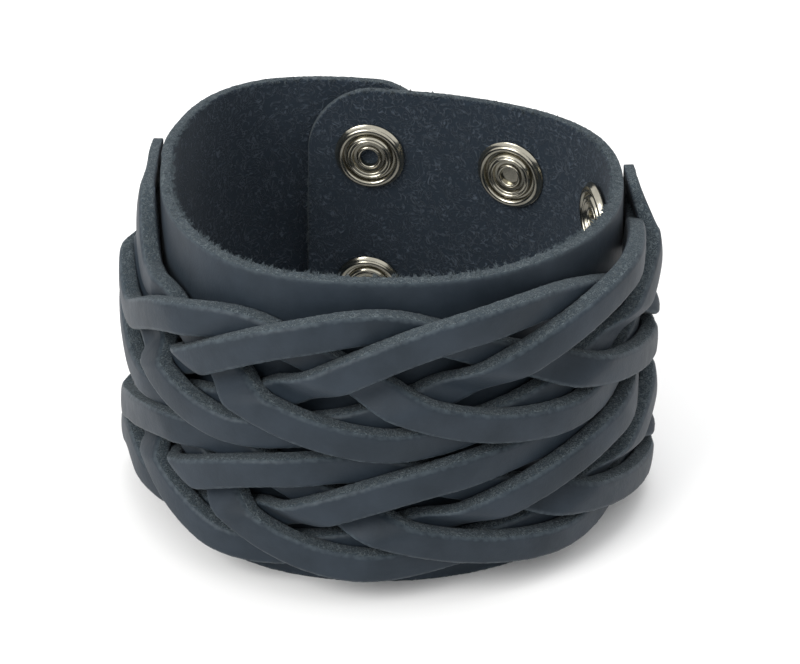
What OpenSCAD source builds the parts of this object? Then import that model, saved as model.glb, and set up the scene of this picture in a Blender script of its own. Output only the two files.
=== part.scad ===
// Leather cuff bracelet: an oval band that snaps shut behind the wrist and
// carries a slit leather panel, plaited into two five-strap flat braids.
// Millimetres, +Z up, standing on its lower edge, front of the cuff at -Y.

/* [Band] */
// Height of the band, rim to rim
band_h = 46.5; // [40:0.5:55]
// Thickness of the band's leather
band_t = 1.8; // [1.4:0.1:2.4]
// Long half-width of the oval, to the outer face at mid height
oval_long = 35.9; // [34:0.1:40]
// Short half-width of the oval, to the outer face at mid height
oval_short = 33.6; // [32:0.1:38]
// How far the lower edge is wider than mid height, as a share
flare = 0.03; // [0:0.005:0.04]
// Corner radius of the two flap ends
corner_r = 11; // [6:0.5:14]

/* [Closure] */
// Direction of the inner flap's end, degrees
inner_end = 111; // [106:1:116]
// Direction of the outer flap's end, degrees
outer_end = 76; // [72:1:80]
// Gap between the two flaps, which the closed snaps fill
flap_gap = 1.8; // [1.8:0.1:2.6]
// Distance of each row of snaps from its rim
snap_inset = 11.2; // [9:0.2:13]
// Radius of the ringed flange on the inside
flange_r = 5.6; // [5:0.1:6]

/* [Braid] */
// Thickness of the plaited panel's leather
strap_t = 2.6; // [2:0.1:2.8]
// Width that each strap is cut to
strap_w = 4.35; // [4:0.05:4.4]
// Height of the upper braid's middle line, at the front right
upper_mid = 33; // [32.4:0.1:33.6]
// Swing of a strap's middle line in the upper braid, at the front right
upper_swing = 8.6; // [7.6:0.1:8.8]
// Height of the lower braid's middle line, at the front right
lower_mid = 12.9; // [12.6:0.1:13.6]
// Swing of a strap's middle line in the lower braid, at the front right
lower_swing = 7.4; // [6.6:0.1:7.6]

/* [Hidden] */

// Colours of the finished pieces
leather = "#2b313a";
nickel = "#c9c6bd";

// The oval is turned a little, and three and four soft lobes make it the hand-bent shape
oval_turn = -29;
lobe3 = [0.036, -0.027];
lobe4 = [-0.026, 0.006];

// Where the oval's centre lies, so that the whole cuff's box is centred on the origin
oval_at = [-1.36, 0.94];

function ellipse_r(f) = oval_long * oval_short
    / sqrt(pow(oval_short * cos(f), 2) + pow(oval_long * sin(f), 2));
function plan_r(q) = let (f = q - oval_turn) ellipse_r(f)
    * (1 + lobe3[0] * sin(3 * f) + lobe3[1] * cos(3 * f)
         + lobe4[0] * sin(4 * f) + lobe4[1] * cos(4 * f));
function plan_xy(q) = plan_r(q) * [cos(q), sin(q)];

// Outward direction of the wall at angle q
function normal_angle(q) = let (d = plan_xy(q + 0.5) - plan_xy(q - 0.5)) atan2(-d[0], d[1]);
function widening(z) = 1 + flare * (1 - 2 * z / band_h);

// A point at angle q and height z, a distance off outside the band's outer face
function wall(q, z, off) = let (a = normal_angle(q), p = oval_at + plan_xy(q) * widening(z))
    [p[0] + off * cos(a), p[1] + off * sin(a), z];

// 0 below lo, 1 above hi, with a smooth rise between
function ease(x, lo, hi) = let (u = min(1, max(0, (x - lo) / (hi - lo)))) u * u * (3 - 2 * u);

// Skin of a sweep whose rings all have n points, with flat ends
function skin(rings, n) = [
    for (i = [0 : rings - 2], k = [0 : n - 1])
        each [[i * n + k, (i + 1) * n + k, i * n + (k + 1) % n],
              [i * n + (k + 1) % n, (i + 1) * n + k, (i + 1) * n + (k + 1) % n]],
    [for (k = [0 : n - 1]) k],
    [for (k = [n - 1 : -1 : 0]) (rings - 1) * n + k]
];

// Band: one strip that runs clockwise from the inner flap's end to the outer one's
strip_turn = 360 + inner_end - outer_end;
strip_steps = 88;
corner_steps = 9;
lift_from = 206;
lift_to = 243;
outer_lift = band_t + flap_gap;
corner_turn = corner_r / (0.5 * (oval_long + oval_short)) * 180 / PI;

// Angles of the strip's rings: close together at the rounded ends, even between them
strip_angles = concat(
    [for (i = [0 : corner_steps - 1]) corner_turn * (1 - cos(90 * i / corner_steps))],
    [for (i = [0 : strip_steps]) corner_turn + (strip_turn - 2 * corner_turn) * i / strip_steps],
    [for (i = [corner_steps - 1 : -1 : 0])
        strip_turn - corner_turn * (1 - cos(90 * i / corner_steps))]
);
function corner_drop(s) = let (d = min(1, min(s, strip_turn - s) / corner_turn))
    corner_r * (1 - sqrt(max(0, 1 - pow(1 - d, 2))));
function strip_lift(s) = outer_lift * ease(s - inner_end, lift_from, lift_to);
function strip_ring(s) = let (q = inner_end - s, drop = corner_drop(s), up = strip_lift(s))
    [wall(q, drop, up - band_t), wall(q, drop, up),
     wall(q, band_h - drop, up), wall(q, band_h - drop, up - band_t)];

// Snaps: three size positions on the inner flap, the outer flap closed on the first
snap_angles = [94, 51.5, 15.5];
snap_heights = [band_h - snap_inset, snap_inset];
snap_seats = [for (q = snap_angles, z = snap_heights) [q, z]];
wall_lean = atan(2 * flare * oval_long / band_h);
leather_hole_r = 2.1;
hole_past = 1.4;
tube_r = 1.75;
tube_bore_r = 1.4;
seat_gap = 0.03;
seat_clear = 0.12;

// Small overlap that joins two outlines of one piece
weld = 0.05;

// How far a flat flange stands off the hollow side of the wall at angle q, to clear its rim
function seat_sag(q) = let (d = flange_r / plan_r(q) * 180 / PI,
        edges = 0.5 * (wall(q - d, 0, 0) + wall(q + d, 0, 0)))
    norm(wall(q, 0, 0) - edges) + seat_clear;

// Turns a part whose axis is +Z so that +Z points out of the band at a seat
module on_wall(seat, off) {
    translate(wall(seat[0], seat[1], 0))
        rotate([0, 90 - wall_lean, normal_angle(seat[0])])
            translate([0, 0, off])
                children();
}

module base_band() {
    color(leather)
        difference() {
            polyhedron(points = [for (s = strip_angles) each strip_ring(s)],
                       faces = skin(len(strip_angles), 4));
            for (seat = snap_seats)
                on_wall(seat, -band_t - hole_past)
                    cylinder(r = leather_hole_r, h = band_t + 2 * hole_past, $fn = 32);
            for (i = [0, 1])
                on_wall(snap_seats[i], flap_gap - hole_past)
                    cylinder(r = leather_hole_r, h = band_t + 2 * hole_past, $fn = 32);
        }
}

// Braids: strap j crosses its braid's middle line at crossing j and at every fifth one from it.
// Angles of the crossings, numbered from first_cross on, from the right end round to the left
cross_angles = [14, 7, -1, -12, -28, -48, -69, -88, -105, -120, -133, -146, -159, -172, -185,
    -198, -211];
first_cross = -4;
straps = 5;
layer_gap = 0.3;
layer_step = strap_t + layer_gap;

// Height at x on a smooth curve through the values v, which stand at first, first + 1 and so on
function curve(v, first, x) = let (i = floor(x), u = x - i,
        k = [for (m = [-1 : 2]) min(len(v) - 1, max(0, i - first + m))],
        a = v[k[0]], b = v[k[1]], d = v[k[2]], e = v[k[3]])
    0.5 * (2 * b + (d - a) * u + (2 * a - 5 * b + 4 * d - e) * u * u
           + (3 * b - a - 3 * d + e) * u * u * u);
function angle_at(c) = curve(cross_angles, first_cross, c);

// A braid's unevenness at every second crossing from -2 on: how far its middle line drifts, the
// share of the full swing, and how many degrees it lags. Its wave leans by the two last values
upper = [upper_mid, upper_swing, [-0.4, -0.2, 0, -0.6, -2, -3.4, -3.4],
         [0.95, 1, 1, 0.93, 0.84, 0.79, 0.79], [0, 0, 0, 0, 0, 0, 0], [0.1, -0.06]];
lower = [lower_mid, lower_swing, [-1.1, -0.7, 0, -0.1, 0.9, 1.9, 2.1],
         [0.97, 0.99, 1, 0.97, 0.92, 0.86, 0.86], [0, -3, -4, -3, -2, -1, 0], [0.03, -0.06]];
function along(v, c) = curve(v, 0, c / 2 + 1);
function mid_at(braid, c) = braid[0] + along(braid[2], c);
function swing_at(braid, c) = braid[1] * along(braid[3], c);
function strap_angle(braid, c) = angle_at(c) + along(braid[4], c);

// The plait: where it is full, and where its straps have reached the uncut tabs
right_tab = -2.4;
right_plait = -1.2;
left_plait = 7.4;
left_tab = 10.2;
right_run_out = 0.6;
left_run_out = 0.7;

// Slots of the straps at both tabs, top to bottom
tab_order = [0, 2, 3, 4, 1];
slot_pitch = strap_w + 0.3;
function slot_z(j, tab_mid) = tab_mid + slot_pitch * (2 - search(j, tab_order)[0]);

// Crossing number, which runs out softly past both ends of the full plait
function run_out(past, room) = room * (1 - exp(-past / room));
function held(c) = c > left_plait ? left_plait + run_out(c - left_plait, left_run_out)
    : c < right_plait ? right_plait - run_out(right_plait - c, right_run_out)
    : c;

// Shares of the plait in a strap's path and in its layer: 0 at a tab, 1 in the plait
function plait_share(c) = ease(c, right_tab + 0.1, right_plait - 0.2)
    * (1 - ease(c, left_plait + 0.2, left_tab - 1));
function layer_share(c) = ease(c, right_tab, right_tab + 0.7) * (1 - ease(c, left_tab - 1.2, left_tab));

// Height of a strap's middle line: down from the middle first, then up through it
function wave_phase(c, j) = 180 / straps * (held(c) - j + (j % 2 == 0 ? 0 : straps));
function strap_z(c, j, tab_mid, braid) = let (
        f = wave_phase(c, j),
        wave = -sin(f) + braid[5][0] * cos(f) + braid[5][1] * cos(2 * f),
        p = plait_share(c))
    (1 - p) * slot_z(j, tab_mid) + p * (mid_at(braid, c) + swing_at(braid, c) * wave);

// Layer of a strap over the band: under two, round the edge, over two, down at the middle line
dive_half = 0.25;
climb_from = 2.1;
climb_to = 2.9;
function layer(p) = p < dive_half ? 1 - ease(p, -dive_half, dive_half)
    : p > straps - dive_half ? 1 - ease(p, straps - dive_half, straps + dive_half)
    : ease(p, climb_from, climb_to);
function cycle(x) = x - straps * floor(x / straps);

// Distance off the band of a strap's inner face, v above its middle line: the fold follows the
// strap that crosses it
left_hold = 7.2;
function strap_off(c, j, v, braid) = let (
        lead = -v * cos(wave_phase(c, j)) / (2 * swing_at(braid, c) * PI / straps),
        p = cycle(min(left_hold, max(right_plait, c)) + lead - j))
    layer_gap + layer_share(c) * layer_step * layer(p);

// Ring of a strap's section at crossing number c
turn_mm = oval_long * PI / 180;
slope_step = 0.05;
function strap_ring(c, j, tab_mid, braid) = let (
        q = strap_angle(braid, c),
        z = strap_z(c, j, tab_mid, braid),
        dz = strap_z(c + slope_step, j, tab_mid, braid) - strap_z(c - slope_step, j, tab_mid, braid),
        dq = strap_angle(braid, c + slope_step) - strap_angle(braid, c - slope_step),
        slope = atan2(dz, -dq * turn_mm),
        side = 0.5 * strap_w * sin(slope) / turn_mm,
        up = 0.5 * strap_w * cos(slope))
    [for (k = [[-1, 0], [-1, 1], [1, 1], [1, 0]])
        wall(q + k[0] * side, z + k[0] * up, strap_off(c, j, k[0] * up, braid) + k[1] * strap_t)];

strap_steps = 56;
tab_overlap = 0.12;
strap_crosses = [for (i = [0 : strap_steps])
    right_tab - tab_overlap + (left_tab - right_tab + 2 * tab_overlap) * i / strap_steps];

module strap(j, tab_mid, braid) {
    polyhedron(points = [for (c = strap_crosses) each strap_ring(c, j, tab_mid, braid)],
               faces = skin(len(strap_crosses), 4));
}

// Uncut end of the panel, from angle q on through turn, a hair thicker than the straps in it
tab_steps = 5;
tab_inset = 0.06;
tab_proud = 0.06;
tab_lap = 0.1;
right_tab_turn = 5.2;
left_tab_turn = 12;
function tab_ring(q) = [for (k = [[0, 0], [0, 1], [1, 1], [1, 0]])
    wall(q, k[0] == 0 ? tab_inset : band_h - tab_inset,
         layer_gap + (k[1] == 0 ? -tab_proud : strap_t + tab_proud))];
module tab(q, turn) {
    for (i = [0 : tab_steps - 1])
        hull()
            polyhedron(points = [for (k = [min(i + 1 + tab_lap, tab_steps), i])
                                     each tab_ring(q + turn * k / tab_steps)],
                       faces = skin(2, 4));
}

// Each braid's tab slots fill its half of the panel, just short of the middle cut
tab_seam = 0.03;
module braided_panel() {
    color(leather)
        union() {
            for (j = [0 : straps - 1]) {
                strap(j, 0.75 * band_h - tab_seam, upper);
                strap(j, 0.25 * band_h + tab_seam, lower);
            }
            tab(angle_at(right_tab), right_tab_turn);
            tab(angle_at(left_tab) - left_tab_turn, left_tab_turn);
        }
}

// Inside half of a snap: a flange with a rolled bead, a step and a lip, on a tube
flange_t = 0.45;
bead_r = 0.62;
bead_inset = 0.95;
rim_w = 0.5;
rim_t = 0.3;
step_r = 0.5 * flange_r;
step_w = 0.12 * flange_r;
step_h = 0.75;
lip_r = 0.28;
lip_h = 0.6;
module eyelet(i) {
    sag = seat_sag(snap_seats[i][0]);
    color(nickel)
        on_wall(snap_seats[i], -band_t - sag)
            rotate_extrude($fn = 64) {
                difference() {
                    union() {
                        translate([tube_bore_r, -flange_t])
                            square([flange_r - flange_t - tube_bore_r, flange_t]);
                        translate([flange_r - bead_inset, -flange_t]) circle(r = bead_r, $fn = 32);
                        translate([flange_r - rim_w, -rim_t]) square([rim_w, rim_t]);
                        translate([step_r, -step_h]) square([step_w, step_h - rim_t]);
                        translate([tube_bore_r + lip_r, -lip_h]) circle(r = lip_r, $fn = 24);
                    }
                    square([flange_r + weld, bead_r]);
                }
                translate([tube_bore_r, -rim_t])
                    square([tube_r - tube_bore_r, rim_t + sag + band_t + rim_t]);
            }
}

// Outside half: a disc with a round knob, hollow for the tube's end
stud_disc_r = 4.2;
stud_disc_t = 0.42;
knob_r = 2;
knob_h = 1.05;
knob_round = 0.3;
hollow_h = 0.72;
module stud(i) {
    color(nickel)
        on_wall(snap_seats[i], seat_gap)
            rotate_extrude($fn = 64) {
                difference() {
                    union() {
                        square([stud_disc_r, stud_disc_t]);
                        square([knob_r, knob_h - knob_round]);
                        translate([knob_r - knob_round, knob_h - knob_round])
                            circle(r = knob_round, $fn = 24);
                        square([knob_r - knob_round, knob_h]);
                    }
                    translate([0, -weld]) square([tube_r + weld, hollow_h + weld]);
                }
            }
}

// Socket on the outer flap's inner face, which takes a stud's knob
socket_r = 4.6;
socket_from = 0.52;
socket_to = 1.4;
socket_bore_r = 2.2;
ledge_bore_r = 1.35;
ledge_t = 0.28;
module socket(i) {
    color(nickel)
        on_wall(snap_seats[i], socket_from)
            rotate_extrude($fn = 64) {
                translate([socket_bore_r, 0])
                    square([socket_r - socket_bore_r, socket_to - socket_from]);
                translate([ledge_bore_r, socket_to - socket_from - ledge_t])
                    square([socket_bore_r - ledge_bore_r + weld, ledge_t]);
            }
}

// Plain domed cap on the outside of the closure, with its post through the leather
cap_r = 6.2;
cap_h = 2.1;
cap_edge = 0.5;
post_r = 1.25;
post_past = 0.65;
dome_r = (cap_r * cap_r + pow(cap_h - cap_edge, 2)) / (2 * (cap_h - cap_edge));
module cap(i) {
    color(nickel)
        on_wall(snap_seats[i], outer_lift + seat_gap)
            rotate_extrude($fn = 64) {
                square([cap_r, cap_edge]);
                intersection() {
                    translate([0, cap_h - dome_r]) circle(r = dome_r, $fn = 96);
                    square([cap_r, cap_h]);
                }
                translate([0, -band_t - post_past]) square([post_r, band_t + post_past + weld]);
            }
}

base_band();
braided_panel();
eyelet(0);  // eyelet_1
eyelet(1);  // eyelet_2
eyelet(2);  // eyelet_3
eyelet(3);  // eyelet_4
eyelet(4);  // eyelet_5
eyelet(5);  // eyelet_6
stud(0);  // stud_1
stud(1);  // stud_2
stud(2);  // stud_3
stud(3);  // stud_4
stud(4);  // stud_5
stud(5);  // stud_6
socket(0);  // socket_1
socket(1);  // socket_2
cap(0);  // cap_1
cap(1);  // cap_2
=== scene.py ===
# %% [markdown]
# A plaited leather cuff, built the way a leatherworker builds it. Every leather
# piece is cut flat first, as a slab of hide with its grain face up. Its edges are
# rounded and roughened while it is flat, and only then is it bent round the wrist
# and plaited. The metal snaps are turned from a profile, like parts on a lathe.

# %% Load the frame
import math
import bpy
import bmesh
import numpy as np
from mathutils import Matrix, Vector, noise


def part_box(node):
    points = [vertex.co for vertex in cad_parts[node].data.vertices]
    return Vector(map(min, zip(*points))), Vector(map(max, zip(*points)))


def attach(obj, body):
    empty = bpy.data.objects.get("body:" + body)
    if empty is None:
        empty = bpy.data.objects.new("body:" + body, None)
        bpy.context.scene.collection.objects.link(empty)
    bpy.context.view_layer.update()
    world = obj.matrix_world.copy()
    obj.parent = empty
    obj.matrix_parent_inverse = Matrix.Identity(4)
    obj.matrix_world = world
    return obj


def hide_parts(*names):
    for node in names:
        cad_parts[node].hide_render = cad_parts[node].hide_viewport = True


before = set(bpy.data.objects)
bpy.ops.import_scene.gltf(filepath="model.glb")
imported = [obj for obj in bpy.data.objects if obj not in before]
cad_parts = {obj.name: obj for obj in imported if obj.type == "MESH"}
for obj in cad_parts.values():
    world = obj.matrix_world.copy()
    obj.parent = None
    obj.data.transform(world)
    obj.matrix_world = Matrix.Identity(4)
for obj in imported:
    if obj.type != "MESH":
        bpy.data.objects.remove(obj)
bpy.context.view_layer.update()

MM = 0.001
ROOT = "root"
print("CAD nodes:", len(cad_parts))

# %% [markdown]
# The camera comes first, so that every later step can be judged in the picture.
# It looks down on the cuff by 30 degrees from just under 30 cm, as a product
# photograph does, with a lens long enough that the oval doesn't look stretched.
# The tiny roll is the photograph's own.

# %% Camera
PHOTO_W = 800
LOOK_AT = Vector((1.24, -5.66, 24.0)) * MM
LOOK_DOWN = math.radians(30.0)
LOOK_FROM = 290.0 * MM
FOCAL_PX = 1981.0
ROLL = math.radians(0.77)
SENSOR = 36.0
NEAREST, FARTHEST = 0.01, 20.0


def make_camera():
    data = bpy.data.cameras.new("photo_camera")
    data.sensor_width = SENSOR
    data.lens = FOCAL_PX / PHOTO_W * SENSOR
    data.clip_start = NEAREST
    data.clip_end = FARTHEST
    camera = bpy.data.objects.new("photo_camera", data)
    bpy.context.collection.objects.link(camera)
    back = Vector((0.0, -math.cos(LOOK_DOWN), math.sin(LOOK_DOWN)))
    turn = (-back).to_track_quat("-Z", "Y").to_matrix().to_4x4()
    camera.matrix_world = (Matrix.Translation(LOOK_AT + LOOK_FROM * back)
                           @ turn @ Matrix.Rotation(ROLL, 4, "Z"))
    bpy.context.scene.camera = camera
    print("lens, mm:", round(data.lens, 1))


make_camera()

# %% [markdown]
# The cuff's shape is one rule: a hand-bent oval, a little wider at the lower
# edge, and distances measured straight out from its wall. Every piece is placed
# with this rule, so the leather, the braid and the snaps always fit each other.
# Two low waves on the oval, three and four to the turn, make it look hand-bent.
# All of it is worked out on whole arrays of points, which keeps it quick.

# %% The oval wall
low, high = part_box("base_band")
BAND_H = (high.z - low.z) / MM
BAND_T = 1.8
OVAL_LONG, OVAL_SHORT, OVAL_TURN = 35.9, 33.6, -29.0
LOBE3 = (0.036, -0.027)
LOBE4 = (-0.026, 0.006)
OVAL_AT = (-1.36, 0.94)
FLARE = 0.03
MM_PER_DEGREE = OVAL_LONG * math.pi / 180.0
HALF_STEP = 0.5


def ease(x, lo, hi):
    """0 up to lo, 1 from hi on, and a soft S between them."""
    u = np.clip((x - lo) / (hi - lo), 0.0, 1.0)
    return u * u * (3.0 - 2.0 * u)


def plan_xy(q):
    """The wall's outer face seen from above, at angle q in degrees."""
    f = np.radians(q - OVAL_TURN)
    r = OVAL_LONG * OVAL_SHORT / np.hypot(OVAL_SHORT * np.cos(f), OVAL_LONG * np.sin(f))
    r = r * (1.0 + LOBE3[0] * np.sin(3 * f) + LOBE3[1] * np.cos(3 * f)
             + LOBE4[0] * np.sin(4 * f) + LOBE4[1] * np.cos(4 * f))
    return r * np.cos(np.radians(q)), r * np.sin(np.radians(q))


def normal_angle(q):
    """The direction straight out of the wall at q, in radians."""
    x0, y0 = plan_xy(q - HALF_STEP)
    x1, y1 = plan_xy(q + HALF_STEP)
    return np.arctan2(-(x1 - x0), y1 - y0)


def wall(q, z, off):
    """Points at angle q and height z, off outside the band's outer face, in mm."""
    x, y = plan_xy(q)
    a = normal_angle(q)
    wide = 1.0 + FLARE * (1.0 - 2.0 * z / BAND_H)
    return np.stack([OVAL_AT[0] + x * wide + off * np.cos(a),
                     OVAL_AT[1] + y * wide + off * np.sin(a), z + 0.0 * x], axis=-1)


print("band height, mm:", round(BAND_H, 1))

# %% [markdown]
# A slab of hide is a flat grid that is extruded twice into its thickness. The
# grid of the first step is taken out again, so that nothing is left inside.
# Then its outer edges are bevelled, as an edge beveller does. The faces get
# their finish here, while up still means the grain side: grain on top, napped
# flesh below, and the raw cut all round.

# %% Cut a slab of hide
GRAIN, FLESH, CUT = 0, 1, 2
LAYERS = 2
EDGE_BEVEL = 0.3
BEVEL_STEPS = 3
SHARP = 1.0
FACES_UP = 0.6
TOUCHING = 1e-4


def no_repeats(items):
    """The items once each, in the order in which they came."""
    return list(dict.fromkeys(items))


def at_slab_end(edge, length):
    return all(abs(abs(v.co.x) - length / 2) < TOUCHING for v in edge.verts)


def cut_slab(bm, length, width, thick, along, across, bevel=EDGE_BEVEL, keep_ends=False):
    """Add a flat slab to bm, with its length on X, its width on Y and its grain side up."""
    grid = bmesh.ops.create_grid(bm, x_segments=along, y_segments=across, size=0.5)
    bmesh.ops.scale(bm, vec=(length, width, 1.0), verts=grid["verts"])
    slab = list(grid["verts"])
    faces = no_repeats(f for v in slab for f in v.link_faces)
    for layer_no in range(LAYERS):
        made = bmesh.ops.extrude_face_region(bm, geom=faces)["geom"]
        if layer_no > 0:
            bmesh.ops.delete(bm, geom=faces, context="FACES")
        faces = [g for g in made if isinstance(g, bmesh.types.BMFace)]
        rise = [g for g in made if isinstance(g, bmesh.types.BMVert)]
        bmesh.ops.translate(bm, vec=(0.0, 0.0, thick / LAYERS), verts=rise)
        slab += rise
    slab = [v for v in slab if v.is_valid]
    bmesh.ops.recalc_face_normals(bm, faces=no_repeats(f for v in slab for f in v.link_faces))
    rims = [e for e in no_repeats(e for v in slab for e in v.link_edges)
            if e.calc_face_angle(0.0) > SHARP and not (keep_ends and at_slab_end(e, length))]
    made = bmesh.ops.bevel(bm, geom=rims, offset=bevel, segments=BEVEL_STEPS, profile=0.5,
                           affect="EDGES", material=-1)
    slab = no_repeats(v for v in slab + made["verts"] if v.is_valid)
    for f in no_repeats(f for v in slab for f in v.link_faces):
        f.normal_update()
        f.smooth = True
        up = f.normal.z
        f.material_index = GRAIN if up > FACES_UP else FLESH if up < -FACES_UP else CUT
    return slab


print("steps in a bevelled edge:", BEVEL_STEPS)

# %% [markdown]
# A knife through thick hide leaves a fibrous edge, which catches the light as a
# pale, crumbly line. Real bumps are pushed into the cut faces, from noise at the
# size of the fibres. Each point also keeps a number that says how near it lies
# to the cut, so that the grain can be painted paler there later: partly rubbed
# dye, and partly a painted highlight along the edge.

# %% Roughen the cut edges
FIBRE = 0.55
FUZZ = 0.11
# Width of the paler rim by each cut: rubbed dye and a painted edge highlight.
RUB_AND_HIGHLIGHT_WIDTH = 0.9
CUT_REACH = 0.32
ACROSS_SCALE = 3.0
SEED_STEP = 7.3
FINER, FINER_SHARE = 2.3, 0.6
UPWARD_SCALE, UPWARD_SHARE = 1.7, 0.35
UPWARD_SHIFT = Vector((9.1, 0.0, 0.0))


def roughen(verts, length, width, thick, seed, ragged=0.0):
    """Push the cut faces in and out, in mm; ragged adds more at the corner on the flesh side."""
    near = np.zeros(len(verts))
    for i, v in enumerate(verts):
        inside = min(width / 2 - abs(v.co.y), length / 2 - abs(v.co.x))
        near[i] = max(0.0, 1.0 - inside / RUB_AND_HIGHLIGHT_WIDTH)
        if inside > CUT_REACH:
            continue
        p = Vector((v.co.x / FIBRE + seed * SEED_STEP, v.co.y * ACROSS_SCALE, v.co.z / FIBRE))
        push = noise.noise(p) + FINER_SHARE * noise.noise(p * FINER)
        torn = 1.0 + ragged * (1.0 - v.co.z / thick)
        v.co.y += math.copysign(FUZZ * torn * push, v.co.y)
        v.co.z += UPWARD_SHARE * FUZZ * noise.noise(p * UPWARD_SCALE + UPWARD_SHIFT)
    return near


print("fibre size on the cut, mm:", FIBRE)

# %% [markdown]
# Once a flat slab has been bent, it goes into an object that sits at the
# origin, with its place in its mesh, and it replaces the plain solid of the
# same piece. The bend lays a slab's length the other way round the wrist, which
# mirrors it and turns its faces inwards.
# The nearness to the cut is stored as an attribute of the mesh, because a
# material can read that on every point.

# %% Finish a leather piece
def show_piece(name, mesh, node=None):
    """Put a mesh in the scene, on the root body; node is the CAD solid that it replaces."""
    piece = bpy.data.objects.new(name, mesh)
    bpy.context.collection.objects.link(piece)
    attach(piece, ROOT)
    if node:
        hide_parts(node)


def count_triangles(mesh):
    return sum(len(p.vertices) - 2 for p in mesh.polygons)


def leather_piece(name, bm, slabs, node, finishes):
    """slabs holds pairs of (verts, near), and all of them together are the whole of bm."""
    bm.verts.index_update()
    near_cut = np.zeros(len(bm.verts))
    for verts, near in slabs:
        near_cut[[v.index for v in verts]] = near
    mesh = bpy.data.meshes.new(name)
    bm.to_mesh(mesh)
    bm.free()
    # The nearness to the cut drives the paler rim: partly rubbed dye, partly a painted edge
    # highlight.
    rub_and_highlight = mesh.attributes.new("near_cut", "FLOAT", "POINT")
    rub_and_highlight.data.foreach_set("value", near_cut.astype(np.float32))
    for finish in finishes:
        mesh.materials.append(finish)
    show_piece(name, mesh, node)
    print(name, "triangles:", count_triangles(mesh))


def bend(verts, place):
    """Move flat points to where place(x, y, z) says, in mm."""
    flat = np.array([v.co[:] for v in verts])
    for v, p in zip(verts, place(flat[:, 0], flat[:, 1], flat[:, 2])):
        v.co = Vector(p) * MM


# %% [markdown]
# Materials. One function turns a hex colour to linear light, and one adds a
# node. Each material starts with the object's own coordinates in millimetres,
# so that the scale of every pattern is a real size.

# %% Colour and node helpers
def linear(hex_code):
    out = []
    for i in (0, 2, 4):
        c = int(hex_code[i:i + 2], 16) / 255.0
        out.append(c / 12.92 if c <= 0.04045 else ((c + 0.055) / 1.055) ** 2.4)
    return (*out, 1.0)


def add(tree, kind, inputs=None, stops=(), **settings):
    """Add a node, set its properties, link or fill its inputs, and colour a ramp's stops."""
    node = tree.nodes.new(kind)
    for key, value in settings.items():
        setattr(node, key, value)
    for key, value in (inputs or {}).items():
        if isinstance(value, bpy.types.NodeSocket):
            tree.links.new(value, node.inputs[key])
        else:
            node.inputs[key].default_value = value
    for i, (at, hex_code) in enumerate(stops):
        marks = node.color_ramp.elements
        mark = marks[i] if i < 2 else marks.new(at)
        mark.position = at
        mark.color = linear(hex_code)
    return node


def new_finish(name):
    """A material without a shader yet, and the object's own coordinates in mm."""
    finish = bpy.data.materials.new(name)
    finish.use_nodes = True
    tree = finish.node_tree
    tree.nodes.clear()
    where = add(tree, "ShaderNodeTexCoord")
    in_mm = add(tree, "ShaderNodeMapping", {"Vector": where.outputs["Object"],
                                            "Scale": (1 / MM,) * 3})
    return finish, tree, in_mm.outputs["Vector"]


print("mid grey in linear light:", round(linear("808080")[0], 3))

# %% [markdown]
# The leather is chrome-tanned cowhide, drum-dyed blue-black and lightly waxed.
# That gives a satin grain: the colour drifts a little where the hide took more
# or less dye. The rim beside each cut is painted paler, partly as rubbed dye and
# partly as a painted highlight along the edge. The pores are about
# 0.3 mm apart, and the soft creases a few millimetres, both as bump, since they
# are too shallow to change the outline.

# %% Dyed grain leather
PORE_MM = 0.32
CREASE_MM = 2.6
DYE_DRIFT_MM = 9.0
SPECK_MM = 0.7


def grain_leather(name, dark, mid, rub_and_highlight_hex, gloss):
    finish, tree, at = new_finish(name)
    drift = add(tree, "ShaderNodeTexNoise", {"Vector": at, "Scale": 1 / DYE_DRIFT_MM,
                                             "Detail": 7.0, "Roughness": 0.6})
    dye = add(tree, "ShaderNodeValToRGB", {"Fac": drift.outputs["Fac"]},
              [(0.36, dark), (0.64, mid)])
    # Paler beside the cut: partly rubbed dye, partly a painted highlight along the edge.
    cut = add(tree, "ShaderNodeAttribute", attribute_name="near_cut")
    speck = add(tree, "ShaderNodeTexNoise", {"Vector": at, "Scale": 1 / SPECK_MM, "Detail": 3.0})
    speckled_rub_and_highlight = add(tree, "ShaderNodeMath", {0: cut.outputs["Fac"], 1: speck.outputs["Fac"]},
              operation="MULTIPLY")
    rub_and_highlight = add(tree, "ShaderNodeMapRange", {"Value": speckled_rub_and_highlight.outputs[0],
                                            "From Min": 0.2, "From Max": 0.7})
    colour = add(tree, "ShaderNodeMix", {0: rub_and_highlight.outputs[0], 6: dye.outputs["Color"],
                                         7: linear(rub_and_highlight_hex)}, data_type="RGBA")
    pores = add(tree, "ShaderNodeTexVoronoi", {"Vector": at, "Scale": 1 / PORE_MM})
    creases = add(tree, "ShaderNodeTexNoise", {"Vector": at, "Scale": 1 / CREASE_MM,
                                               "Detail": 5.0, "Roughness": 0.6})
    fine = add(tree, "ShaderNodeBump", {"Height": pores.outputs["Distance"],
                                        "Strength": 0.25, "Distance": 0.05 * MM})
    relief = add(tree, "ShaderNodeBump", {"Height": creases.outputs["Fac"],
                                          "Normal": fine.outputs["Normal"],
                                          "Strength": 0.35, "Distance": 0.25 * MM})
    shine = add(tree, "ShaderNodeMapRange", {"Value": creases.outputs["Fac"],
                                             "To Min": gloss - 0.07, "To Max": gloss + 0.1})
    skin = add(tree, "ShaderNodeBsdfPrincipled",
               {"Base Color": colour.outputs[2], "Roughness": shine.outputs[0],
                "Normal": relief.outputs["Normal"], "Specular IOR Level": 0.22,
                "Sheen Weight": 0.02, "Sheen Roughness": 0.5})
    add(tree, "ShaderNodeOutputMaterial", {"Surface": skin.outputs[0]})
    return finish


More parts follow.
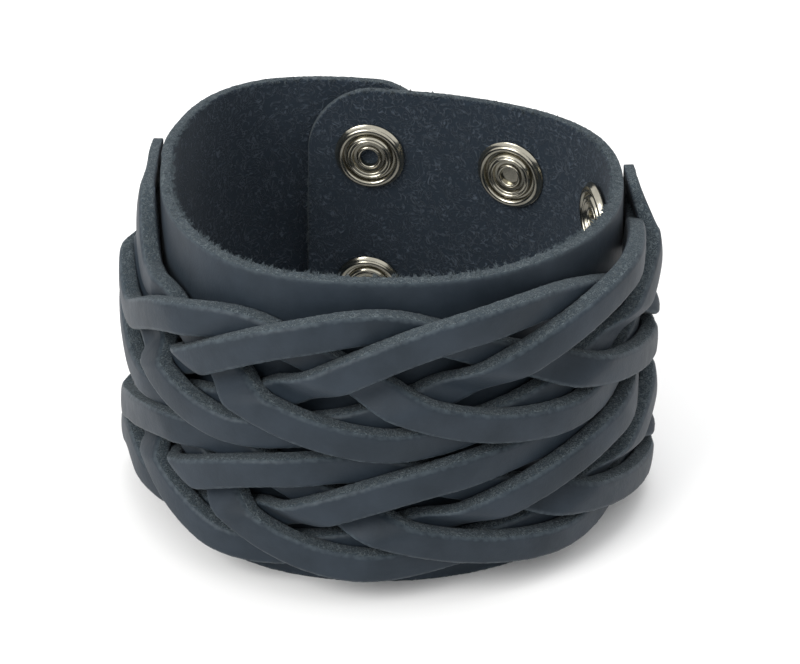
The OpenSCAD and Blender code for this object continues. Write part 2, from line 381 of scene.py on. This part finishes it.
# The last colour of each is the paler rim by the cut: rubbed dye with a painted edge highlight.
band_grain = grain_leather("dyed_cowhide_band_grain", "19222a", "242d36", "3a444a", 0.58)
strap_grain = grain_leather("dyed_cowhide_strap_grain", "1a232b", "252e37", "465056", 0.52)
print("pores, mm apart:", PORE_MM)

# %% [markdown]
# The cut and the flesh side are the same fibres seen two ways. On the cut they
# stand on end, pale and crumbly, because the dye doesn't reach deep. On the
# flesh side they are brushed flat into a nap, with paler strokes. Both are
# almost fully rough, and a little sheen stands for the fibre ends that no bump
# can draw. The strokes are drawn coarser than real fibres, so that they show.

# %% Raw fibres
def raw_fibre(name, dark, pale, stroke_mm, depth, cover, sheen, thin=0.05):
    """Pale strokes, stroke_mm apart, over a dark ground: cover says how many, thin how wide."""
    finish, tree, at = new_finish(name)
    strand = add(tree, "ShaderNodeTexNoise", {"Vector": at, "Scale": 1 / stroke_mm,
                                              "Detail": 2.0, "Roughness": 0.5,
                                              "Distortion": 2.2})
    ridge = add(tree, "ShaderNodeValToRGB", {"Fac": strand.outputs["Fac"]},
                [(0.5 - thin, "000000"), (0.5, "ffffff"), (0.5 + thin, "000000")])
    patch = add(tree, "ShaderNodeTexNoise", {"Vector": at, "Scale": 1 / (stroke_mm * 0.8),
                                             "Detail": 2.0, "Roughness": 0.6})
    shown = add(tree, "ShaderNodeMapRange", {"Value": patch.outputs["Fac"],
                                             "From Min": 0.7 - cover * 0.5,
                                             "From Max": 0.9 - cover * 0.5})
    mark = add(tree, "ShaderNodeMath", {0: ridge.outputs["Color"], 1: shown.outputs[0]},
               operation="MULTIPLY")
    colour = add(tree, "ShaderNodeMix", {0: mark.outputs[0], 6: linear(dark), 7: linear(pale)},
                 data_type="RGBA")
    relief = add(tree, "ShaderNodeBump", {"Height": mark.outputs[0],
                                          "Strength": 0.8, "Distance": depth * MM})
    fibre = add(tree, "ShaderNodeBsdfPrincipled",
                {"Base Color": colour.outputs[2], "Normal": relief.outputs["Normal"],
                 "Roughness": 0.95, "Specular IOR Level": 0.2,
                 "Sheen Weight": sheen, "Sheen Roughness": 0.6})
    add(tree, "ShaderNodeOutputMaterial", {"Surface": fibre.outputs[0]})
    return finish


cut_fibre = raw_fibre("raw_cut_cowhide_edge", "313b42", "667176", 0.8, 0.3, 0.8, 0.05, 0.09)
flesh_nap = raw_fibre("napped_cowhide_flesh", "232d37", "505b67", 1.8, 0.3, 0.8, 0.05, 0.05)
loose_fibre = raw_fibre("loose_cowhide_fibre", "414b51", "6b767a", 0.5, 0.02, 0.7, 0.1)
print("fibre finishes:", cut_fibre.name, flesh_nap.name, loose_fibre.name)

# %% [markdown]
# The snaps are brass sheet, pressed to shape and bright nickel plated. Nickel
# is a slightly warm mirror. Handling leaves it hazed in small patches, which
# is mostly a change of roughness, with a very small change of tint.

# %% Nickel plate
HAZE_MM = 1.3
SCUFF_MM = 0.25


def nickel_plate(name):
    finish, tree, at = new_finish(name)
    haze = add(tree, "ShaderNodeTexNoise", {"Vector": at, "Scale": 1 / HAZE_MM, "Detail": 4.0})
    rough = add(tree, "ShaderNodeMapRange", {"Value": haze.outputs["Fac"],
                                             "To Min": 0.15, "To Max": 0.25})
    tint = add(tree, "ShaderNodeValToRGB", {"Fac": haze.outputs["Fac"]},
               [(0.3, "b9b5a7"), (0.7, "a8a497")])
    scuff = add(tree, "ShaderNodeTexNoise", {"Vector": at, "Scale": 1 / SCUFF_MM,
                                             "Detail": 2.0})
    relief = add(tree, "ShaderNodeBump", {"Height": scuff.outputs["Fac"],
                                          "Strength": 0.08, "Distance": 0.03 * MM})
    metal = add(tree, "ShaderNodeBsdfPrincipled",
                {"Base Color": tint.outputs["Color"], "Roughness": rough.outputs[0],
                 "Normal": relief.outputs["Normal"], "Metallic": 1.0})
    add(tree, "ShaderNodeOutputMaterial", {"Surface": metal.outputs[0]})
    return finish


nickel = nickel_plate("bright_nickel_plate")
print("metal finish:", nickel.name)

# %% [markdown]
# The band is one strip, longer than the wrist is round, so its two ends lie
# over each other at the back. The strip is cut straight. When it is bent, its
# height is squeezed near the ends, which gives them their rounded corners, and
# the outer flap is lifted off the inner one by the thickness of the snaps. A
# slow wave keeps the wall from looking perfect. It stops under the panel's left
# end, before the outer flap, which lies even over the snaps.

# %% The band
INNER_END, OUTER_END = 111.0, 76.0
CORNER_R = 11.0
FLAP_GAP = 1.8
OUTER_LIFT = BAND_T + FLAP_GAP
LIFT_FROM, LIFT_TO = 206.0, 243.0
STRIP_TURN = 360.0 + INNER_END - OUTER_END
MEAN_R = 0.5 * (OVAL_LONG + OVAL_SHORT)
STRIP_LENGTH = STRIP_TURN * MEAN_R * math.pi / 180.0
STRIP_WIDTH = BAND_H - 2 * FUZZ
BAND_ALONG, BAND_ACROSS = 640, 48
WAVE_MM, WAVE_ROUND, WAVE_UP, WAVE_UNTIL = 0.18, 0.13, 0.11, 300
RIM_RAGGED = 3.0
BAND_SEED = 1.0


def place_band(x, y, z):
    s = (x / STRIP_LENGTH + 0.5) * STRIP_TURN
    from_end = np.clip((STRIP_LENGTH / 2 - np.abs(x)) / CORNER_R, 0.0, 1.0)
    drop = CORNER_R * (1.0 - np.sqrt(1.0 - (1.0 - from_end) ** 2))
    squeeze = (BAND_H / 2 - drop) / (BAND_H / 2)
    lift = OUTER_LIFT * ease(s - INNER_END, LIFT_FROM, LIFT_TO)
    height = BAND_H / 2 + y * squeeze
    wave = WAVE_MM * np.sin(s * WAVE_ROUND) * np.sin(height * WAVE_UP)
    return wall(INNER_END - s, height, lift + z - BAND_T + wave * (s < WAVE_UNTIL))


def make_band():
    bm = bmesh.new()
    verts = cut_slab(bm, STRIP_LENGTH, STRIP_WIDTH, BAND_T, BAND_ALONG, BAND_ACROSS)
    near = roughen(verts, STRIP_LENGTH, STRIP_WIDTH, BAND_T, BAND_SEED, RIM_RAGGED)
    bend(verts, place_band)
    leather_piece("band_leather", bm, [(verts, near)], "base_band",
                  [band_grain, flesh_nap, cut_fibre])


make_band()
print("strip cut for the band, mm:", round(STRIP_LENGTH, 1), "by", round(BAND_H, 1))

# %% [markdown]
# The plait. Each braid has five straps. A strap runs over two, dives at the
# middle line, runs under two, turns at the edge and comes back. The length of a
# strap is counted in crossings, and CROSS_ANGLES says where round the wrist each
# crossing lies. No hand-made braid is even: its crossings are spaced by hand,
# its middle line drifts, and its swing gets narrower towards one end. The lists
# in UPPER and LOWER hold the height of the middle line and the swing in mm, at
# every second crossing. There, lag turns a braid's crossings by a few degrees,
# lean makes its wave lopsided, and tab is the height about which its slots lie.

# %% Numbers of the plait
STRAPS = 5
STRAP_T, STRAP_W = 2.6, 4.35
LAYER_GAP = 0.3
LAYER_STEP = STRAP_T + LAYER_GAP
CROSS_ANGLES = (14, 7, -1, -12, -28, -48, -69, -88, -105, -120, -133, -146, -159, -172, -185,
                -198, -211)
FIRST_CROSS = -4
KNOT_EVERY = 2.0
UPPER = dict(mid=(32.6, 32.8, 33.0, 32.4, 31.0, 29.6, 29.6),
             swing=(8.2, 8.6, 8.6, 8.0, 7.2, 6.8, 6.8),
             lag=(0.0, 0.0), lean=(0.10, -0.06), tab=0.75 * BAND_H)
LOWER = dict(mid=(11.8, 12.2, 12.9, 12.8, 13.8, 14.8, 15.0),
             swing=(7.2, 7.3, 7.4, 7.2, 6.8, 6.4, 6.4),
             lag=(0.0, -3.0, -4.0, -3.0, -2.0, -1.0, 0.0), lean=(0.03, -0.06), tab=0.25 * BAND_H)


def curve(values, first, x):
    """Height at x on a smooth curve through values, which stand at first, first + 1, ..."""
    i = np.floor(x).astype(int)
    u = x - i
    a, b, d, e = (np.take(np.array(values, dtype=float), i - first + m, mode="clip")
                  for m in (-1, 0, 1, 2))
    return 0.5 * (2 * b + (d - a) * u + (2 * a - 5 * b + 4 * d - e) * u ** 2
                  + (3 * b - a - 3 * d + e) * u ** 3)


def angle_at(c):
    """Angle round the wrist of crossing number c."""
    return curve(CROSS_ANGLES, FIRST_CROSS, c)


def along(values, c):
    """One of a braid's lists, read at crossing c."""
    return curve(values, 0, c / KNOT_EVERY + 1.0)


print("crossings at the front:", [round(float(angle_at(np.array(float(c)))), 1) for c in range(3)])

# %% [markdown]
# All five straps follow one wave, a fifth of its length apart, so one rule with
# the strap's number in it places them all. Near the panel's uncut ends the wave
# runs out and the straps fan in to their slots, in the order in which they lie
# there. At the same places they come down to one layer.

# %% Where a strap runs
RIGHT_TAB, RIGHT_PLAIT = -2.4, -1.2
LEFT_PLAIT, LEFT_TAB = 7.4, 10.2
RIGHT_ROOM, LEFT_ROOM = 0.6, 0.7
RIGHT_FAN = (RIGHT_TAB + 0.1, RIGHT_PLAIT - 0.2)
LEFT_FAN = (LEFT_PLAIT + 0.2, LEFT_TAB - 1.0)
TAB_ORDER = (0, 2, 3, 4, 1)
SLOT_PITCH = STRAP_W + 0.3


def run_out(past, room):
    """Grows with past at first, and then comes to rest at room."""
    return room * (1.0 - np.exp(-np.maximum(past, 0.0) / room))


def held(c):
    """The crossing number, which runs out softly past both ends of the full plait."""
    return (np.clip(c, RIGHT_PLAIT, LEFT_PLAIT) + run_out(c - LEFT_PLAIT, LEFT_ROOM)
            - run_out(RIGHT_PLAIT - c, RIGHT_ROOM))


def plait_share(c):
    """1 in the plait, 0 where the straps lie in their slots."""
    return ease(c, *RIGHT_FAN) * (1.0 - ease(c, *LEFT_FAN))


def wave_phase(c, j):
    return math.pi / STRAPS * (held(c) - j + (STRAPS if j % 2 else 0))


def strap_z(c, j, braid):
    """Height of strap j's middle line: down from the braid's middle first, then up through it."""
    f = wave_phase(c, j)
    wave = -np.sin(f) + braid["lean"][0] * np.cos(f) + braid["lean"][1] * np.cos(2 * f)
    slot = braid["tab"] + SLOT_PITCH * (2 - TAB_ORDER.index(j))
    share = plait_share(c)
    return (1 - share) * slot + share * (along(braid["mid"], c) + along(braid["swing"], c) * wave)


print("slots in an uncut end, mm apart:", round(SLOT_PITCH, 2))

# %% [markdown]
# Over and under is a second, shorter rule: a height of 0 or 1 layers, by how far
# the strap has come since its last dive. It dives quickly, where it slips under
# its neighbour at the middle line, and climbs slowly round the braid's edge. One
# side of the wide strap reaches a crossing before the other, so the rule is read
# a little earlier or later across the strap, which twists it as real leather
# twists. On the left the whole braid also stands a little prouder.

# %% Over and under
LEFT_HOLD = 7.2
DIVE_HALF = 0.3
CLIMB = (1.8, 3.2)
RIGHT_RISE = (RIGHT_TAB, RIGHT_TAB + 1.4)
LEFT_RISE = (LEFT_TAB - 1.2, LEFT_TAB)
SKIVED = 0.6
RIGHT_SKIVE = (RIGHT_TAB, -1.4)
LEFT_SKIVE = (8.2, LEFT_TAB)
PROUD, PROUD_AT, PROUD_WIDE = 0.5, -172.0, 15.0


def layer(p):
    """0 on the band, 1 on top of another strap: under two, round the edge, over two, down."""
    dive = 1.0 - ease(p, -DIVE_HALF, DIVE_HALF)
    last_dive = 1.0 - ease(p - STRAPS, -DIVE_HALF, DIVE_HALF)
    climb = ease(p, *CLIMB)
    return np.where(p < DIVE_HALF, dive, np.where(p > STRAPS - DIVE_HALF, last_dive, climb))


def layer_share(c):
    """1 in the plait, 0 where the straps lie flat in the uncut ends."""
    return ease(c, *RIGHT_RISE) * (1.0 - ease(c, *LEFT_RISE))


def skive(c):
    """Share of the full thickness: the panel is shaved thinner towards its uncut ends."""
    return SKIVED + (1.0 - SKIVED) * ease(c, *RIGHT_SKIVE) * (1.0 - ease(c, *LEFT_SKIVE))


def strap_off(c, j, v, q, braid):
    """How far strap j's flesh side lies off the band, v above its middle line."""
    lead = -v * np.cos(wave_phase(c, j)) / (2 * along(braid["swing"], c) * math.pi / STRAPS)
    p = np.mod(np.clip(c, RIGHT_PLAIT, LEFT_HOLD) + lead - j, STRAPS)
    proud = PROUD * np.exp(-((q - PROUD_AT) / PROUD_WIDE) ** 2)
    return LAYER_GAP + layer_share(c) * (LAYER_STEP + proud) * layer(p)


print("height of one layer, mm:", round(LAYER_STEP, 2))

# %% [markdown]
# A strap is cut as a long flat slab. The bend turns its length into crossings,
# and crossings into an angle, a height and a layer. A little waviness in height
# and roll, different for each strap, keeps ten straps from looking like one
# copied strap, and the grain face is crowned a touch, as leather is when it is
# pulled.

# %% Bend a strap
STRAP_ALONG, STRAP_ACROSS = 300, 6
STRAP_BEVEL = 0.6
MM_PER_CROSS = 11.0
STRAP_LENGTH = (LEFT_TAB - RIGHT_TAB) * MM_PER_CROSS
CROWN = 0.16
NUDGE = 0.05
WANDER, WANDER_RATE, WANDER_STEP = 0.16, 1.9, 2.1
ROCK, ROCK_RATE, ROCK_STEP = 0.05, 1.3, 1.7
FIRST_SEED = 3.0


def place_strap(j, braid, seed):
    """The bend for strap j of a braid, as a function of flat x, y and z in mm."""
    middle = 0.5 * (RIGHT_TAB + LEFT_TAB)

    def turn_at(c):
        return angle_at(c) + along(braid["lag"], c)

    def place(x, y, z):
        c = middle + x / MM_PER_CROSS
        q = turn_at(c)
        rise = strap_z(c + NUDGE, j, braid) - strap_z(c - NUDGE, j, braid)
        run = (turn_at(c - NUDGE) - turn_at(c + NUDGE)) * MM_PER_DEGREE
        slope = np.arctan2(rise, run)
        free = plait_share(c)
        wander = WANDER * free * np.sin(WANDER_RATE * c + WANDER_STEP * seed)
        rock = ROCK * free * np.sin(ROCK_RATE * c + ROCK_STEP * seed)
        crown = CROWN * (1 - (2 * y / STRAP_W) ** 2) * z / STRAP_T
        up = y * np.cos(slope)
        turn = q + y * np.sin(slope) / MM_PER_DEGREE
        off = strap_off(c, j, up, q, braid) + z * skive(c) + crown + rock * y
        return wall(turn, strap_z(c, j, braid) + up + wander, off)

    return place


print("slab for one strap, mm:", round(STRAP_LENGTH, 1), "by", STRAP_W)

# %% [markdown]
# The panel is both braids, and at each end the piece of leather that was left
# uncut. The straps' own ends stay square where they meet it, without the paler
# rim of rubbed dye and painted edge highlight, because there the hide isn't cut.
# All of it is one mesh, because on the real cuff it is one piece of hide.

# %% The plaited panel
RIGHT_TAB_TURN, LEFT_TAB_TURN = 5.2, 12.0
TAB_WIDTH = BAND_H - 0.2 - 2 * FUZZ
TAB_CELLS_PER_MM, TAB_CELLS_MIN, TAB_ACROSS = 2.5, 8, 60
RIGHT_TAB_SEED, LEFT_TAB_SEED = 21.0, 22.0
BEYOND_THE_SLIT = 4.0


def each_strap():
    """Strap number, braid and seed of all ten straps."""
    return [(j, braid, FIRST_SEED + j + STRAPS * level)
            for level, braid in enumerate((UPPER, LOWER)) for j in range(STRAPS)]


def cut_tab(bm, q0, turn, seed):
    """One uncut end of the panel, from angle q0 on through turn."""
    length = turn * MM_PER_DEGREE
    cells = max(TAB_CELLS_MIN, int(length * TAB_CELLS_PER_MM))
    verts = cut_slab(bm, length, TAB_WIDTH, STRAP_T, cells, TAB_ACROSS)
    near = roughen(verts, length, TAB_WIDTH, STRAP_T, seed)
    bend(verts, lambda x, y, z: wall(q0 + (0.5 - x / length) * turn, BAND_H / 2 + y,
                                     LAYER_GAP + z * SKIVED))
    return verts, near


def cut_strap(bm, j, braid, seed):
    verts = cut_slab(bm, STRAP_LENGTH, STRAP_W, STRAP_T, STRAP_ALONG, STRAP_ACROSS,
                     STRAP_BEVEL, keep_ends=True)
    near = roughen(verts, STRAP_LENGTH + BEYOND_THE_SLIT, STRAP_W, STRAP_T, seed)
    bend(verts, place_strap(j, braid, seed))
    return verts, near


def make_panel():
    bm = bmesh.new()
    slabs = [cut_strap(bm, j, braid, seed) for j, braid, seed in each_strap()]
    right = float(angle_at(np.array(RIGHT_TAB)))
    left = float(angle_at(np.array(LEFT_TAB)))
    slabs.append(cut_tab(bm, right, RIGHT_TAB_TURN, RIGHT_TAB_SEED))
    slabs.append(cut_tab(bm, left - LEFT_TAB_TURN, LEFT_TAB_TURN, LEFT_TAB_SEED))
    leather_piece("braided_panel_leather", bm, slabs, "braided_panel",
                  [strap_grain, flesh_nap, cut_fibre])


make_panel()

# %% [markdown]
# Loose fibres. Where the knife went through, single fibres stand out of the
# raw edge, most of them along the rim's inner corner. Each is a thin closed
# spike with three sides and its root in the leather. They are too fine to see
# one by one, but together they break up the clean line that gives a computer
# model away. The chance that scatters them has a fixed seed, so that every run
# gives the same fibres.

# %% One fibre
FIBRE_THICK = 0.06
ROOT_SHARE = 0.4
RIM_SCATTER, STRAP_SCATTER = 0.3, 0.45


def add_fibre(bm, root, lean, length, chance, scatter):
    """A spike in mm from root, pointing along lean with some scatter."""
    aim = (lean + Vector(chance.normal(0.0, scatter, 3))).normalized()
    turn = aim.to_track_quat("Z", "Y").to_matrix().to_4x4()
    place = Matrix.Translation((root + aim * length * ROOT_SHARE) * MM) @ turn
    bmesh.ops.create_cone(bm, cap_ends=True, segments=3, radius1=FIBRE_THICK * MM,
                          radius2=0.0, depth=length * MM, matrix=place)


def fibre_piece(name, bm):
    mesh = bpy.data.meshes.new(name)
    bm.to_mesh(mesh)
    bm.free()
    mesh.materials.append(loose_fibre)
    show_piece(name, mesh)
    print(name, "triangles:", count_triangles(mesh))


# %% [markdown]
# On the rim the fibres stand in tufts, most of them near the flesh side, and
# they lean inwards and up. A few tufts run down the cut end of the inner flap,
# where they break up the flap's edge in the same way.

# %% Fibres on the rim
RIM_TUFTS, END_TUFTS, FIBRES_IN_TUFT = 800, 90, 6
RIM_FROM_END, AT_FLAP_END = 4.0, 0.15
RIM_SINK = 0.12
RIM_UPWARD = 0.6
NEAR_FLESH = (0.6, 1.8)
TUFT_SPREAD, TUFT_LEAN = 0.12, 0.4
TUFT_REACH = (0.35, 1.0)
SHARE_OF_REACH = (0.5, 1.0)


def rim_fibres():
    bm = bmesh.new()
    chance = np.random.default_rng(11)
    s = chance.uniform(RIM_FROM_END, STRIP_TURN - RIM_FROM_END, RIM_TUFTS)
    s = np.append(s, np.full(END_TUFTS, AT_FLAP_END))
    x = (s / STRIP_TURN - 0.5) * STRIP_LENGTH
    down = BAND_H / 2 - CORNER_R
    y = np.append(np.full(RIM_TUFTS, BAND_H / 2 - RIM_SINK),
                  chance.uniform(-down, down, END_TUFTS))
    thick = BAND_T * chance.beta(*NEAR_FLESH, len(s))
    roots = place_band(x, y, thick)
    out = normal_angle(INNER_END - s)
    for root, a, at_rim in zip(roots, out, y > down):
        tuft = Vector((-math.cos(a), -math.sin(a), RIM_UPWARD if at_rim else 0.0))
        tuft += Vector(chance.normal(0.0, TUFT_LEAN, 3))
        reach = chance.uniform(*TUFT_REACH)
        for _ in range(FIBRES_IN_TUFT):
            near = Vector(root) + Vector(chance.normal(0.0, TUFT_SPREAD, 3))
            length = reach * chance.uniform(*SHARE_OF_REACH)
            add_fibre(bm, near, tuft, length, chance, RIM_SCATTER)
    fibre_piece("rim_fibres", bm)


rim_fibres()

# %% [markdown]
# The straps are cut cleaner, so their fibres are single and short, and stand
# straight out of each strap's upper edge, which is the one that catches light.

# %% Fibres on the straps
STRAP_FIBRES = 260
STRAP_SPAN = 0.48
CUT_SPAN = (0.1, 0.95)
STRAP_SINK = 0.15
OUTWARD = 0.5
STRAP_REACH = (0.2, 0.45)


def strap_fibres():
    bm = bmesh.new()
    chance = np.random.default_rng(12)
    for j, braid, seed in each_strap():
        place = place_strap(j, braid, seed)
        x = chance.uniform(-STRAP_SPAN, STRAP_SPAN, STRAP_FIBRES) * STRAP_LENGTH
        z = chance.uniform(*CUT_SPAN, STRAP_FIBRES) * STRAP_T
        edge = np.full_like(x, STRAP_W / 2 - STRAP_SINK)
        for root, out in zip(place(x, edge, z), place(x, edge + OUTWARD, z)):
            lean = Vector(out - root).normalized()
            add_fibre(bm, Vector(root), lean, chance.uniform(*STRAP_REACH), chance,
                      STRAP_SCATTER)
    fibre_piece("strap_fibres", bm)


strap_fibres()

# %% [markdown]
# A snap part is round, so it is turned: a profile of a few points is spun round
# the part's axis, all the way, and its doubles are merged where the turn closes
# and at the middle. The parts sit in three columns and two rows, and the wall
# leans in a little towards the top, so each part leans with it.

# %% Turned parts
SPIN_STEPS = 96
SNAP_ANGLES = (94.0, 51.5, 15.5)
SNAP_INSET = 11.2
FLANGE_R = 5.6
SEATS = [(q, z) for q in SNAP_ANGLES for z in (BAND_H - SNAP_INSET, SNAP_INSET)]
LEAN = math.atan(2 * FLARE * OVAL_LONG / BAND_H)
SAG_ROOM = 0.12
SHARP_TURN = math.radians(50.0)


def seat_matrix(seat, off):
    """Turns +Z out of the wall at a seat, off outside the band's outer face, in mm."""
    q, z = seat
    at = wall(np.array(q), np.array(z), 0.0)
    turn = (Matrix.Rotation(float(normal_angle(np.array(q))), 4, "Z")
            @ Matrix.Rotation(math.pi / 2 - LEAN, 4, "Y"))
    return Matrix.Translation(Vector(at)) @ turn @ Matrix.Translation((0.0, 0.0, off))


def seat_sag(q):
    """How far the round wall stands off a flat flange at its middle, in mm."""
    d = FLANGE_R / MEAN_R * 180.0 / math.pi
    mid, a, b = (wall(np.array(t), np.array(0.0), 0.0) for t in (q, q - d, q + d))
    return float(np.linalg.norm(mid - 0.5 * (a + b))) + SAG_ROOM


def turned(name, profile, seat, off, node):
    """Spin a profile of (radius, height) points in mm, and seat it on the band."""
    bm = bmesh.new()
    points = [bm.verts.new((r, 0.0, h)) for r, h in profile]
    edges = [bm.edges.new(pair) for pair in zip(points, points[1:])]
    bmesh.ops.spin(bm, geom=points + edges, cent=(0, 0, 0), axis=(0, 0, 1),
                   angle=2 * math.pi, steps=SPIN_STEPS, use_merge=True)
    bmesh.ops.remove_doubles(bm, verts=bm.verts, dist=TOUCHING)
    bmesh.ops.recalc_face_normals(bm, faces=bm.faces)
    bmesh.ops.transform(bm, matrix=Matrix.Scale(MM, 4) @ seat_matrix(seat, off),
                        verts=bm.verts)
    for f in bm.faces:
        f.smooth = True
    mesh = bpy.data.meshes.new(name)
    bm.to_mesh(mesh)
    bm.free()
    mesh.set_sharp_from_angle(angle=SHARP_TURN)
    mesh.materials.append(nickel)
    show_piece(name, mesh, node)


def arc(centre, radius, start, stop, steps):
    """Points on part of a circle, from angle start to stop in degrees."""
    return [(centre[0] + radius * math.cos(math.radians(start + (stop - start) * k / steps)),
             centre[1] + radius * math.sin(math.radians(start + (stop - start) * k / steps)))
            for k in range(steps + 1)]


print("seats for snaps:", len(SEATS))

# %% [markdown]
# The flange on the inside is the part that shows. Its profile is given with its
# face towards the wrist, which is downwards here. From the rim inwards it has a
# rolled bead, a flat groove, two narrow rings, a step and a lip round the hole.
# The closed pair shows a dark, deep hole. In the spare ones the stud's rivet
# closes the hole with a pale disc just below the lip.

# %% The flange's profile
TUBE_PAST = 0.2
TUBE_CAP = 0.3
RIVET_AT = -0.1


def flange_profile(closed):
    """From the middle of the back, round the rim and over the face, to the hole's bottom."""
    r = FLANGE_R
    bottom = BAND_T + TUBE_PAST if closed else RIVET_AT
    tube = [(0.0, bottom + TUBE_CAP), (0.31 * r, bottom + TUBE_CAP), (0.31 * r, 0.04)]
    back = tube if closed else [(0.0, TUBE_CAP)]
    rim = [(0.9 * r, 0.04), (r, 0.0), (r, -0.18)]
    bead = arc((0.835 * r, -0.42), 0.52, -12, -168, 14)
    groove = [(0.735 * r, -0.2), (0.685 * r, -0.2), (0.665 * r, -0.72)]
    outer_ring = arc((0.6 * r, -0.74), 0.22, -20, -120, 5)
    notch = [(0.56 * r, -0.78)]
    inner_ring = arc((0.51 * r, -0.72), 0.2, -60, -170, 6)
    step = [(0.44 * r, -0.38), (0.38 * r, -0.36)]
    lip = arc((0.305 * r, -0.5), 0.26, -20, -176, 10)
    hole = [(0.25 * r, -0.3), (0.25 * r, bottom), (0.0, bottom)]
    return back + rim + bead + groove + outer_ring + notch + inner_ring + step + lip + hole


print("points in a flange:", len(flange_profile(True)))

# %% [markdown]
# The other three parts are seen at the sides and the back. The stud is a disc
# with a round knob, the socket is a plain ring that takes it, and the cap is
# the shallow dome on the outside of the closure, with a post through the flap.

# %% Profiles of the stud, the socket and the cap
CAP_R, CAP_RISE, CAP_TOP, CAP_FLAT_R = 6.2, 1.6, 2.1, 5.95
POST_R, POST_PAST = 1.25, 0.65


def knob_profile():
    disc = [(0.0, 0.0), (4.2, 0.0)] + arc((4.0, 0.21), 0.21, -40, 90, 5)
    neck = [(2.15, 0.42), (2.0, 0.5), (1.9, 0.62)]
    head = arc((1.62, 0.76), 0.36, -20, 80, 8) + [(0.85, 1.2), (0.0, 1.24)]
    return disc + neck + head


def socket_profile():
    base = [(2.2, 0.0), (4.45, 0.0)] + arc((4.4, 0.2), 0.2, -60, 80, 4)
    top = [(4.3, 0.88), (1.35, 0.88)]
    mouth = [(1.35, 0.6), (2.2, 0.6), (2.2, 0.0)]
    return base + top + mouth


def cap_profile():
    dome_r = (CAP_R ** 2 + CAP_RISE ** 2) / (2 * CAP_RISE)
    spread = math.degrees(math.asin(6.0 / dome_r))
    post_end = -BAND_T - POST_PAST
    post = [(0.0, post_end), (POST_R, post_end), (POST_R, 0.0), (CAP_FLAT_R, 0.0)]
    rim = arc((CAP_FLAT_R, 0.25), 0.25, -90, 60, 6)
    dome = arc((0.0, CAP_TOP - dome_r), dome_r, 90 - spread, 90, 16)
    return post + rim + dome


print("cap, mm across:", round(2 * CAP_R, 1))

# %% [markdown]
# Each seat has a flange inside and a stud outside. The first column is the
# closed one, so only its two seats have a socket and a cap, which stand on the
# studs and on the outer flap. The parts stand a hair off the leather, so that
# no two faces lie in one plane.

# %% Seat the snaps
CLOSED_SEATS = 2
HAIR = 0.03
SOCKET_OFF = 0.52


def make_snaps():
    for i, seat in enumerate(SEATS):
        turned(f"flange_{i + 1}", flange_profile(i < CLOSED_SEATS), seat,
               -BAND_T - seat_sag(seat[0]), f"eyelet_{i + 1}")
        turned(f"knob_{i + 1}", knob_profile(), seat, HAIR, f"stud_{i + 1}")
    for i, seat in enumerate(SEATS[:CLOSED_SEATS]):
        turned(f"spring_socket_{i + 1}", socket_profile(), seat, SOCKET_OFF, f"socket_{i + 1}")
        turned(f"domed_cap_{i + 1}", cap_profile(), seat, OUTER_LIFT + HAIR, f"cap_{i + 1}")


make_snaps()
print("snap parts:", 2 * len(SEATS) + 2 * CLOSED_SEATS)

# %% [markdown]
# The stage is a plain white floor. A large soft light hangs over the front
# left, a weaker one over the top, and the white surroundings fill the rest, so
# the leather shows soft highlights along each strap and the metal has something
# pale to mirror.

# %% Stage and light
FLOOR_HALF = 3.0
AIM_AT = Vector((0.0, 0.0, 0.02))
WHITE = (1.0, 1.0, 1.0)
WARM_WHITE = (1.0, 0.99, 0.97)


def soft_light(name, place, size, watts, colour):
    data = bpy.data.lights.new(name, "AREA")
    data.shape = "DISK"
    data.size = size
    data.energy = watts
    data.color = colour
    lamp = bpy.data.objects.new(name, data)
    bpy.context.collection.objects.link(lamp)
    lamp.location = place
    lamp.rotation_mode = "QUATERNION"
    aim = AIM_AT - Vector(place)
    lamp.rotation_quaternion = aim.to_track_quat("-Z", "Y")


def make_floor():
    bm = bmesh.new()
    bmesh.ops.create_grid(bm, x_segments=1, y_segments=1, size=FLOOR_HALF)
    mesh = bpy.data.meshes.new("paper_floor")
    bm.to_mesh(mesh)
    bm.free()
    paper = bpy.data.materials.new("matt_white_paper")
    paper.use_nodes = True
    shader = paper.node_tree.nodes["Principled BSDF"]
    shader.inputs["Base Color"].default_value = linear("fafafa")
    shader.inputs["Roughness"].default_value = 1.0
    mesh.materials.append(paper)
    floor = bpy.data.objects.new("paper_floor", mesh)
    bpy.context.collection.objects.link(floor)


def make_surroundings():
    world = bpy.data.worlds.new("white_studio")
    world.use_nodes = True
    world.node_tree.nodes["Background"].inputs["Color"].default_value = (*WHITE, 1.0)
    world.node_tree.nodes["Background"].inputs["Strength"].default_value = 1.0
    bpy.context.scene.world = world
    bpy.context.scene.view_settings.view_transform = "Standard"


make_floor()
soft_light("key_softbox", (-0.5, -0.4, 0.5), size=0.5, watts=4.0, colour=WARM_WHITE)
soft_light("top_softbox", (0.1, 0.25, 0.8), size=0.6, watts=2.0, colour=WHITE)
make_surroundings()
print("lights:", len(bpy.data.lights))
